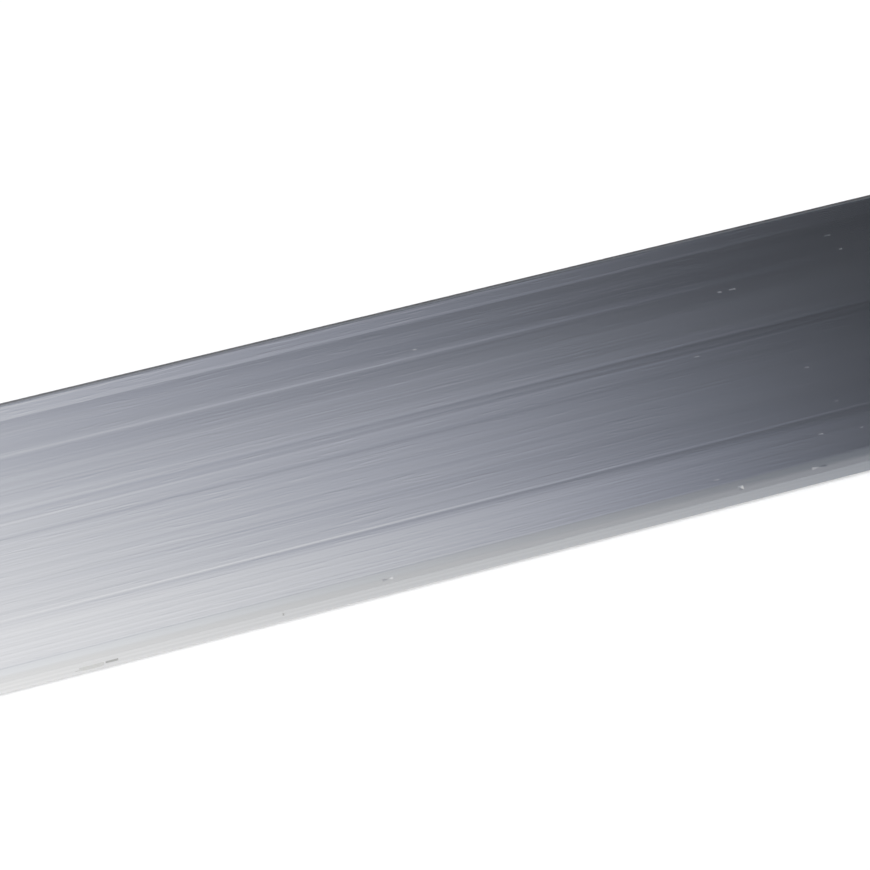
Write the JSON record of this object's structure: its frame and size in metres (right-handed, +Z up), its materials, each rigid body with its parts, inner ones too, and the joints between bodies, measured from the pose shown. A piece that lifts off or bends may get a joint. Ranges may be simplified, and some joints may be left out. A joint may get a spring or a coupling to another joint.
{
  "type": "aluminium flat bar",
  "caption": "Length of extruded aluminium flat bar in mill finish, with rounded long edges, lengthwise die lines and sawn square ends.",
  "frame": {"origin": "middle of the underside, at the bottom centre of the bounding box", "axes": "+X along the length, +Y across the width, +Z up through the thickness"},
  "size_m": [1, 0.04, 0.003],
  "materials": {
    "mill_aluminium": "mill finish as extruded, satin, with lengthwise die lines"
  },
  "bodies": {
    "root": {"flat_bar": "mill_aluminium"}
  },
  "joints": []
}
